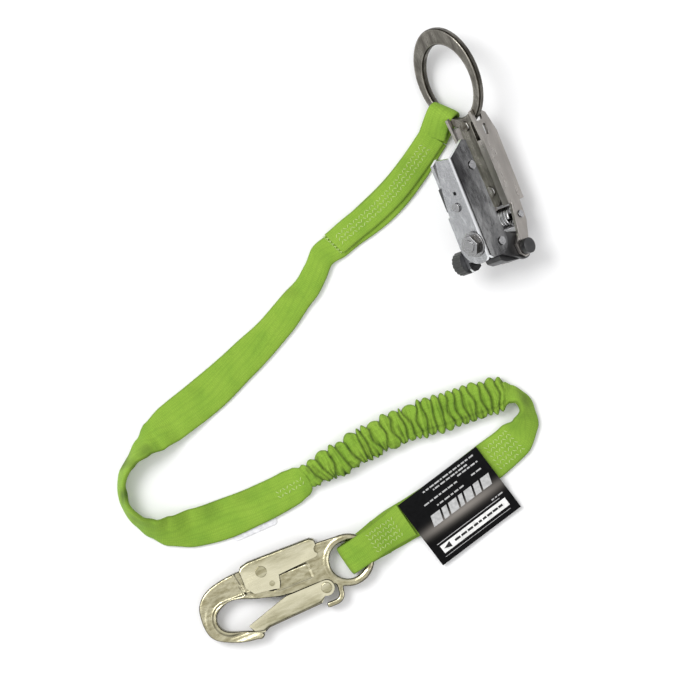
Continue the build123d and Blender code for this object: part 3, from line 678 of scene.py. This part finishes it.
def make_pleats(ribbon):
    """The strap's wrinkles, and the gathered sleeve's puffs, with painted shade in the wrinkles and in the
    valleys between the puffs.
    """
    start, stop = ribbon.run_at(SLEEVE_FROM * MM), ribbon.run_at(SLEEVE_TO * MM)
    rng = random.Random(5)
    marks = [0.0]
    for n in range(PLEATS):
        marks.append(marks[-1] + (rng.uniform(0.65, 1.4) if n < UNEVEN_PLEATS else rng.uniform(0.85, 1.15)))
    marks = [start + (stop - start) * m / marks[-1] for m in marks]
    leans = []
    for n in range(PLEATS + 1):
        leans.append(rng.uniform(-0.0030, 0.0012) if n < UNEVEN_PLEATS else rng.uniform(-0.0008, 0.0008))
    curls = [rng.uniform(-0.0012, 0.0012) for _ in marks]
    puffs = [rng.uniform(0.75, 1.2) for _ in marks]
    forks = []
    for n in range(PLEATS):
        forks.append(rng.uniform(-0.7, 0.5) if n < UNEVEN_PLEATS - 1 or rng.random() < 0.35 else -2.0)
    half_way = (start + stop) / 2

    def valley(n, u):
        return marks[n] + leans[n] * u + curls[n] * math.cos(u * 4.2)

    def puff(run, u, v):
        """How far out the sleeve stands, from 0 in a valley to about 1, and how near a valley is."""
        for n in range(PLEATS):
            low, high = valley(n, u), valley(n + 1, u)
            if low <= run < high:
                phase = (run - low) / (high - low)
                height = puffs[n] * math.sin(math.pi * phase) ** 0.62
                near = max(0.0, 1 - min(phase, 1 - phase) * (high - low) / VALLEY_HALF)
                forked = ease((forks[n] - u) / 0.5) if v > -0.3 else 0.0
                split = math.exp(-(((phase - 0.52) / 0.10) ** 2)) * forked
                return height - 0.42 * split, min(1.0, near + 0.55 * split)
        return 0.0, 0.0

    def shape(i, u, v, across, rise):
        run = ribbon.runs[i]
        if not start - 0.002 < run < stop + 0.002:
            soft = noise.noise(Vector((run * 34, u * 0.9, 9.0)))
            slow = noise.noise(Vector((run * 14, u * 0.5, 4.0)))
            pinch = ease((abs(ribbon.sides[i].z) - 0.4) / 0.3)
            tuck = max(0.0, noise.noise(Vector((run * 75, u * 0.7, 20.0))) - 0.25 + 0.20 * pinch)
            rise = rise * (1 + 0.12 * soft + 0.22 * slow) - tuck * (0.0006 + 0.0010 * pinch)
            # painted shade in the tucks of the wrinkles, deeper where the strap stands on edge
            return across * (1 + 0.02 * soft), rise, (0.35 + 0.9 * pinch) * tuck
        inside = ease((run - start + 0.002) / 0.005) * ease((stop + 0.002 - run) / 0.005)
        height, near = puff(run, u, v)
        fine = noise.noise(Vector((run * 420, u * 3.4, 1.0)))
        lumps = noise.noise(Vector((run * 95, math.copysign(1.0, u), 7.0)))
        tucks = 0.5 + 0.5 * math.sin(run * 1750 + u * 2.5)
        smock = max(0.0, -u - 0.25) * tucks * ease((half_way - run) / 0.02)
        lumpy = 0.0013 * fine * (1 - abs(u) ** 3) + 0.0018 * lumps
        push = inside * (PUFF * (height - 0.80) + lumpy - 0.0016 * smock)
        out = math.copysign(abs(u) ** 2.2, u)
        seam = 0.0
        if v > 0:
            seam = math.exp(-(((u - SEAM_ACROSS) / 0.07) ** 2)) * ease((run - half_way) / 0.01)
        push_up = push * (0.75 + 0.5 * (1 - abs(u))) - 0.0008 * seam
        folds = max(0.0, -0.1 - fine) * ease((half_way - run) / 0.03 + 0.5)
        # painted shade in the valleys between puffs, in the smocking, in the seam's groove and in folds
        dark = inside * (0.95 * near + 0.45 * smock + 0.35 * seam + 0.8 * folds)
        return across + push * 0.85 * out, rise + math.copysign(push_up, v), dark

    return shape


def strap_like(base, start, stop, wide, thick, shift, lift):
    """A ribbon that lies on another one between two distances along it."""
    keep = [i for i, run in enumerate(base.runs) if start <= run <= stop]
    flat = [base.sides[i] for i in keep]
    ups = [base.ups[i] for i in keep]
    points = []
    for i in keep:
        rise = base.thick[i] / 2 + thick / 2 + lift
        points.append(base.points[i] + base.sides[i] * shift + base.ups[i] * rise)
    runs = [base.runs[i] - base.runs[keep[0]] for i in keep]
    return Ribbon(points, runs, [wide] * len(keep), [thick] * len(keep), flat, ups)


def folded_end(line, wides, thick, first_side, fold_side, last_side):
    """A ribbon round a ring's limb: its side turns towards the limb at the fold."""
    points, runs = even_steps(line, 0.0006)
    sides, ups, wide = [], [], []
    for i, run in enumerate(runs):
        t = run / runs[-1]
        tangent = (points[min(i + 1, len(points) - 1)] - points[max(i - 1, 0)]).normalized()
        end_side = first_side if t < 0.5 else last_side
        near = end_side.lerp(fold_side, ease(min(t, 1 - t) * 2.6))
        side = (near - tangent * near.dot(tangent)).normalized()
        sides.append(side)
        ups.append(tangent.cross(side))
        wide.append(wides[0] + (wides[1] - wides[0]) * math.sin(math.pi * t) ** 0.7)
    return Ribbon(points, runs, wide, [thick] * len(points), sides, ups)


# ---- stitching ------------------------------------------------------------------------------

def stitches(name, places, paint, radius=0.00026, sides=6):
    """Short raised threads, each from one point to another over a surface."""
    verts, faces = [], []
    for a, b, up in places:
        way = (b - a).normalized()
        across = way.cross(up).normalized()
        steps = 4
        base = len(verts)
        for j in range(steps + 1):
            t = j / steps
            high = math.sin(math.pi * t) * radius * 1.1
            thin = radius * (0.35 + 0.65 * math.sin(math.pi * (0.12 + 0.76 * t)))
            centre = a.lerp(b, t) + up * (high - radius * 0.15)
            for k in range(sides):
                angle = 2 * math.pi * k / sides
                verts.append(centre + across * (math.cos(angle) * thin) + up * (math.sin(angle) * thin))
        for j in range(steps):
            for k in range(sides):
                p, q = base + j * sides + k, base + j * sides + (k + 1) % sides
                faces.append((p, q, q + sides, p + sides))
        faces.append(tuple(base + k for k in reversed(range(sides))))
        faces.append(tuple(base + steps * sides + k for k in range(sides)))
    made = new_mesh(name, verts, faces)
    made.data.materials.append(paint)
    return made


def zigzag(ribbon, start, stop, rows, reach, pitch, rng, shrink=0.62):
    """Zigzag rows along a ribbon's top between two distances: pairs of points for stitches."""
    places = []
    for row in range(rows):
        middle = (row - (rows - 1) / 2) * reach * 2.1 if rows > 1 else 0.0
        run, flip = start, 1
        while run + pitch < stop:
            a, up = ribbon.top(run + rng.uniform(-1, 1) * pitch * 0.08, middle + flip * reach)
            b, _ = ribbon.top(run + pitch, middle - flip * reach)
            mid = a.lerp(b, 0.5)
            places.append((mid.lerp(a, shrink), mid.lerp(b, shrink), up))
            run += pitch
            flip = -flip
    return places


def end_tacks(upper, lower, run):
    """Threads over an upper ribbon's end, down to the ribbon under it."""
    places = []
    for n in range(7):
        across = (n - 3) * 0.0025
        a, up = upper.top(upper.length - 0.0016, across + 0.0008)
        b, _ = lower.top(run + 0.0018, across - 0.0028)
        places.append((a, b + up * 0.0002, up))
        a, up = upper.top(upper.length - 0.0012, across - 0.0009)
        b, _ = lower.top(run + 0.0014, across - 0.0012)
        places.append((a, b + up * 0.0002, up))
    return places


# ---- label ----------------------------------------------------------------------------------

LABEL_LONG = 65.0
LABEL_WIDE = 50.0
LABEL_TOP = 6.9
LABEL_CORNER = Vector((59.1, -101.5, 0)) * MM
LABEL_ALONG = Vector((-0.966, -0.260, 0)).normalized()
LABEL_OUT = Vector((0.260, -0.966, 0)).normalized()


def label_height(x, y):
    """The label's top: flat over the strap, falling to the flap, with a slight buckle in it."""
    fall = ease((y - 27.5) / 9.0)
    wave = 0.35 * math.sin(x * 0.09 + y * 0.05) * ease((y - 26) / 20)
    return LABEL_TOP - fall * 3.6 + 0.5 * math.sin(math.pi * min(1.0, y / 28.0)) + wave


def on_label(x, y, lift):
    """A place on the label, from its upper right corner, in millimetres along and across it."""
    return LABEL_CORNER + LABEL_ALONG * x * MM + LABEL_OUT * y * MM + UP * (label_height(x, y) * MM + lift)


def label_shell():
    """The label's two layers, apart over the strap and together in the flap."""
    nx, ny = 44, 36
    upper, lower = [], []
    for j in range(ny + 1):
        y = LABEL_WIDE * j / ny
        for i in range(nx + 1):
            top = on_label(LABEL_LONG * i / nx, y, 0.0)
            under = top.copy()
            under.z = 0.0003 + ease((y - 28.5) / 8.0) * (top.z - 0.0012)
            upper.append(top)
            lower.append(under)
    wide, count = nx + 1, len(upper)
    faces = []
    for j in range(ny):
        for i in range(nx):
            a = j * wide + i
            faces.append((a, a + wide, a + wide + 1, a + 1))
            faces.append((count + a, count + a + 1, count + a + wide + 1, count + a + wide))
    for i in range(nx):
        far = ny * wide + i
        faces.append((i, i + 1, count + i + 1, count + i))
        faces.append((far + 1, far, count + far, count + far + 1))
    for j in range(ny):
        a, b = j * wide, j * wide + nx
        faces.append((a + wide, a, count + a, count + a + wide))
        faces.append((b, b + wide, count + b + wide, count + b))
    made = new_mesh("label_shell", upper + lower, faces)
    # painted sheen, a painted reflection, in a band along the label's fold
    sheen_values = []
    for j in range(ny + 1):
        y = LABEL_WIDE * j / ny
        for i in range(nx + 1):
            share = i / nx
            band = math.exp(-(((y - 29.0 + 2 * share) / 3.4) ** 2))
            sheen_values.append(band * (0.45 + 0.55 * math.sin(math.pi * share)))
    paint_points(made.data, "painted_sheen", sheen_values + [0.0] * count)
    made.data.materials.append(label_black)
    made.data.set_sharp_from_angle(angle=math.radians(50))
    return made


def printed(name, paint, bars, outlines=(), lift=0.00014):
    """Thin print that follows the label's surface: bars from corner to corner, and outlined shapes."""
    verts, faces = [], []
    for x0, y0, x1, y1 in bars:
        nx, ny = max(1, round(abs(x1 - x0) / 2)), max(1, round(abs(y1 - y0) / 2))
        base = len(verts)
        for j in range(ny + 1):
            for i in range(nx + 1):
                verts.append(on_label(x0 + (x1 - x0) * i / nx, y0 + (y1 - y0) * j / ny, lift))
        for j in range(ny):
            for i in range(nx):
                a = base + j * (nx + 1) + i
                faces.append((a, a + nx + 1, a + nx + 2, a + 1))
    for outline in outlines:
        base = len(verts)
        verts += [on_label(x, y, lift) for x, y in outline]
        faces.append(tuple(range(base, len(verts))))
    made = new_mesh(name, verts, faces)
    made.data.materials.append(paint)
    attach(made, "webbing")
    return made


def word_bars(rng, first, last, y, high, wide=(1.4, 4.2)):
    """A row of short bars, like print too small to read."""
    bars, x = [], first
    while x < last - 1:
        step = rng.uniform(*wide)
        bars.append((x, y, min(last, x + step), y + high))
        x += step + rng.uniform(0.6, 1.1)
    return bars


# ---- build ----------------------------------------------------------------------------------

make_camera()
make_studio()

webbing_paint = webbing_material()
thread_paint = thread_material()
lever_steel = metal_material(
    "lever_steel", ((0.17, 0.16, 0.145), (0.27, 0.25, 0.23), (0.40, 0.375, 0.35)), 0.30, 0.45,
    110.0, (1, 0.06, 1), 0.05,
)
bolt_steel = metal_material(
    "bolt_steel", ((0.13, 0.13, 0.135), (0.24, 0.24, 0.25), (0.42, 0.42, 0.43)), 0.24, 0.25,
)
gold = metal_material(
    "zinc_gold", ((0.27, 0.245, 0.145), (0.39, 0.36, 0.235), (0.51, 0.48, 0.335)), 0.24, 0.30,
    300.0, (0.2, 1, 1), 0.14,
)
gold_bright = metal_material(
    "zinc_gold_sheet", ((0.28, 0.255, 0.15), (0.42, 0.395, 0.26), (0.56, 0.53, 0.38)), 0.22, 0.30,
    240.0, (0.06, 1, 1), 0.18,
)
steel = metal_material(
    "stainless", ((0.16, 0.16, 0.17), (0.36, 0.365, 0.38), (0.62, 0.63, 0.65)), 0.20, 0.15,
    42.0, (1, 0.15, 1), 0.10,
)
ring_steel = metal_material(
    "ring_steel", ((0.13, 0.12, 0.105), (0.20, 0.19, 0.165), (0.30, 0.285, 0.25)), 0.30, 0.30,
    260.0, (1, 0.08, 1), 0.05,
)
black_steel = metal_material(
    "black_steel", ((0.012, 0.012, 0.013), (0.03, 0.03, 0.032), (0.07, 0.07, 0.072)), 0.38, 0.4,
)
spring_steel = metal_material("spring_steel", ((0.40, 0.40, 0.41), (0.60, 0.60, 0.61), grey(0.8)), 0.22, 0.2)
rivet_steel = metal_material(
    "rivet_steel", ((0.40, 0.37, 0.32), (0.62, 0.60, 0.55), (0.80, 0.79, 0.76)), 0.24, 0.3,
)
# black label stock with a painted sheen band along the fold
label_black = paint_material(
    "label_black", (0.0035, 0.0035, 0.004), 0.5, mottled=0.3, painted_sheen=(0.24, 0.22, 0.20), shine=0.06
)
label_ink = paint_material("label_ink", (0.006, 0.006, 0.0065), 0.5)
label_white = paint_material("label_white", (0.78, 0.78, 0.77), 0.5)
label_grey = paint_material("label_grey", (0.46, 0.46, 0.46), 0.5)
tag_white = paint_material("tag_vinyl", (0.74, 0.74, 0.77), 0.18, coat=0.8, mottled=0.12)
core_paint = paint_material("core_fibre", (0.70, 0.67, 0.56), 0.9)

# the hook's places, in its own plane from the bow's corner, as in the CAD
HOOK = Vector((-152.6, -164.3, 0))
BOW = (17.5, 18.3)
EYE = (104.8, 25.1)
BOW_GROOVE_R = 12.7
turns = {joint["name"]: joint for joint in frame["joints"]}
grab_facing = Vector(turns["housing_swing"]["axis"]).normalized()


def on_hook(co):
    """A place on the hook in its own millimetres, from the bow's corner."""
    return co.x / MM - HOOK.x, co.y / MM - HOOK.y, co.z / MM


def hook_relief(co, normal):
    """The forging's relief, all of it standing proud of the CAD face: both banks of a groove round
    the bow, the web between the rivets, the step where the bow begins and a rim round the eye."""
    u, v, z = on_hook(co)
    if abs(normal.z) < 0.7:
        return Vector()
    web = ease((u - 52) / 2) * ease((80 - u) / 2) * ease((v - 22.5) / 1.5) * ease((34 - v) / 1.5)
    step = math.exp(-(((u - 31.5 + 0.16 * (v - 36)) / 0.8) ** 2)) * ease((v - 27) / 3)
    from_eye = math.hypot(u - EYE[0], v - EYE[1])
    rim = ease((from_eye - 13.6) / 0.8) * ease((16.6 - from_eye) / 0.8)
    out = math.hypot(min(0.0, u - BOW[0]), v - BOW[1])
    bow = ease((40 - u) / 8)
    groove = math.exp(-(((out - BOW_GROOVE_R) / 0.75) ** 2)) * 0.35
    banks = 1.1 * ease((12.4 - out) / 2.6) + 0.7 * ease((out - 14.6) / 3.4)
    raised = bow * (0.35 + banks - groove) + 0.7 * web + 0.8 * step + 0.35 * rim
    return Vector((0, 0, math.copysign(raised * MM, normal.z)))


def gate_fold(co):
    u, v, z = on_hook(co)
    return (z < 3 or z > 11) and v < 9.6 and 29 < u < 82


def lock_fold(co):
    u, v, z = on_hook(co)
    return (z < 1.7 or z > 12.3) and v > 45


# the softened and forged pieces below get painted highlights on their edges and painted shade where they
# turn away
forged("hook_body", gold, 0.00045, 36, UP, hook_relief)
for name, fold, fold_radius in (("hook_gate", gate_fold, 0.0030), ("hook_lock_lever", lock_fold, 0.0018)):
    softened(name, 0.00048, gold_bright, fold, fold_radius, shade_paint=1.0)
for name in ("gate_rivet", "lock_rivet", "lock_cross_pin"):
    repaint(name, gold_bright)
for name in ("gate_spring", "lock_spring", "return_spring"):
    repaint(name, spring_steel)
web_way, plate_way = Vector((-0.71, 0, 0.71)), Vector((0.71, 0, 0.71))
# painted shade on the faces of the housing and swing plate that look towards plate_way
for name in ("grab_housing", "swing_plate"):
    softened(name, 0.0005, steel, shade_paint=0.55, side=plate_way)
for name in ("hinge_bolt", "hinge_nut", "hinge_washer", "latch_rivet"):
    softened(name, 0.00035, bolt_steel, shade_paint=0.9, facing=web_way)
for name in ("side_rivets", "spring_pin"):
    softened(name, 0.00035, bolt_steel, shade_paint=0.9, facing=plate_way)
softened("shank_rivets", 0.0005, rivet_steel, shade_paint=0.9, facing=plate_way)
softened("lever_channel", 0.0005, lever_steel)
forged("attachment_ring", ring_steel, 0.0005, 4, grab_facing)
for name in ("latch_clip", "cam_bracket", "cam", "cam_pin", "lock_knob"):
    softened(name, 0.0003, black_steel)

strap = lay_strap()
webbing = skin(strap, "webbing", webbing_paint, 52, make_pleats(strap))
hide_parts("strap_upper", "shock_sleeve", "strap_lower")

# elastic core inside the sleeve
core_from, core_to = strap.run_at(SLEEVE_FROM * MM) + 0.006, strap.run_at(SLEEVE_TO * MM) - 0.008
core = strap_like(strap, core_from, core_to, 0.0115, 0.0046, 0.0, -0.0078)
core_mesh = skin(core, "shock_core_form", core_paint, 28)
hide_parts("shock_core")

# doubled-back tail on the strap beside the ring
TAIL_TO = Vector((22.5, 58.1, 0)) * MM
tail_stop = strap.run_at(TAIL_TO)
tail = strap_like(strap, 0.0, tail_stop, 0.0178, 0.0028, -0.0016, -0.0001)
tail_mesh = skin(tail, "webbing_tail", webbing_paint, 36)
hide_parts("strap_tail")

# loop round the ring's limb
limb = Vector(turns["grab_tilt"]["pos_m"])
limb_way = Vector(turns["grab_tilt"]["axis"]).normalized()
start_low = strap.points[0].copy()
start_high = tail.points[0].copy()
outward = (start_low - limb) - limb_way * (start_low - limb).dot(limb_way)
outward.normalize()
above = limb_way.cross(outward)
if above.z < 0:
    above.negate()
LOOP_R = 0.0048
loop_points = [start_low, start_low.lerp(limb - above * LOOP_R, 0.55)]
for turn in (-100, -140, -180, -220, -260):
    angle = math.radians(turn)
    loop_points.append(limb + outward * (LOOP_R * math.cos(angle)) + above * (LOOP_R * math.sin(angle)))
loop_points += [start_high.lerp(limb + above * LOOP_R, 0.5), start_high]
loop_line = smooth_route(loop_points, "ring_loop_route")
strap_side = strap.sides[0]
fold_side = Vector((0.6945, -0.7192, 0.22)).normalized()
if fold_side.dot(strap_side) < 0:
    fold_side.negate()
ring_loop = folded_end(loop_line, (0.0186, 0.0178), 0.0032, strap_side, fold_side, strap_side)
ring_loop_mesh = skin(ring_loop, "webbing_ring_loop", webbing_paint, 36)
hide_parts("ring_loop")

# loop through the hook's eye
eye = Vector(turns["hook_swing"]["pos_m"])
hook_end = strap.points[-1].copy()
hook_way = hook_end - eye
hook_way.z = 0
hook_way.normalize()


def beside_eye(along, high):
    return Vector((eye.x, eye.y, 0)) + hook_way * along * MM + UP * high * MM


EYE_LOOP = [
    (20, 1.6), (9, 1.5), (1.5, 1.9), (-1.6, 4.4), (-1.6, 9.6), (1.5, 12.2), (9, 12.9), (18, 12.2),
    (27, 8.6), (36, 5.6), (47, 4.6),
]
eye_points = [hook_end] + [beside_eye(along, high) for along, high in EYE_LOOP]
eye_line = smooth_route(eye_points, "eye_loop_route")
eye_side = -strap.sides[-1]
eye_loop = folded_end(eye_line, (0.0255, 0.0205), 0.0027, eye_side, eye_side, eye_side)
eye_loop_mesh = skin(eye_loop, "webbing_hook_loop", webbing_paint, 36)
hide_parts("hook_loop")

# stitching: along the tail, over its end, before the sleeve, and both sides of the label
rng = random.Random(11)
seams = zigzag(tail, 0.008, tail.length - 0.003, 3, 0.0014, 0.0024, rng)
seams += end_tacks(tail, strap, tail_stop)
tack_from = strap.run_at(Vector((-76, -82.5, 0)) * MM)
seams += zigzag(strap, tack_from, strap.run_at(SLEEVE_FROM * MM), 2, 0.0016, 0.0026, rng)
patch_from, patch_to = strap.run_at(Vector((86, -107, 0)) * MM), strap.run_at(Vector((64, -113.5, 0)) * MM)
seams += zigzag(strap, patch_from, patch_to, 6, 0.0016, 0.0023, rng)
seams += zigzag(eye_loop, eye_loop.length - 0.030, eye_loop.length - 0.006, 5, 0.0015, 0.0023, rng)
stitching = stitches("stitching", seams, thread_paint)
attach(stitching, "webbing")

# folded label with generic print
label = label_shell()
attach(label, "webbing")
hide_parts("folded_label")
PRINT_ROWS = ((2.6, 5, 48), (5.2, 12, 40), (7.6, 5, 22), (10.2, 24, 52), (12.8, 6, 14), (15.0, 22, 44))
RULES = [(8, 36.6, 60, 37.0), (6, 46.4, 60, 46.7)]
BLOCK_ROWS = (18.6, 26.0)
BLOCK_SLANT = 1.2
small = []
for y, first, last in PRINT_ROWS:
    small += word_bars(rng, first, last, y, 1.0)
small += word_bars(rng, 4, 13, 34.4, 0.9) + RULES
blocks, left = [], 5.0
for wide in (7.0, 4.6, 6.2, 3.2, 6.6, 4.0, 7.4):
    right = left + wide
    blocks.append([
        (left - BLOCK_SLANT, BLOCK_ROWS[0]), (left + BLOCK_SLANT, BLOCK_ROWS[1]),
        (right + BLOCK_SLANT, BLOCK_ROWS[1]), (right - BLOCK_SLANT, BLOCK_ROWS[0]),
    ])
    left = right + 1.5
print_small = printed("label_print_small", label_grey, small, blocks)
print_band = printed("label_print_band", label_white, [(5, 38.6, 59, 44.4)])
print_arrow = printed(
    "label_print_arrow", label_ink, word_bars(rng, 9, 50, 40.7, 1.5, (2.0, 4.6)),
    [[(52.0, 39.4), (52.0, 43.6), (57.4, 41.5)]], 0.00024,
)

# inspection tag under the strap
repaint("inspection_tag", tag_white)
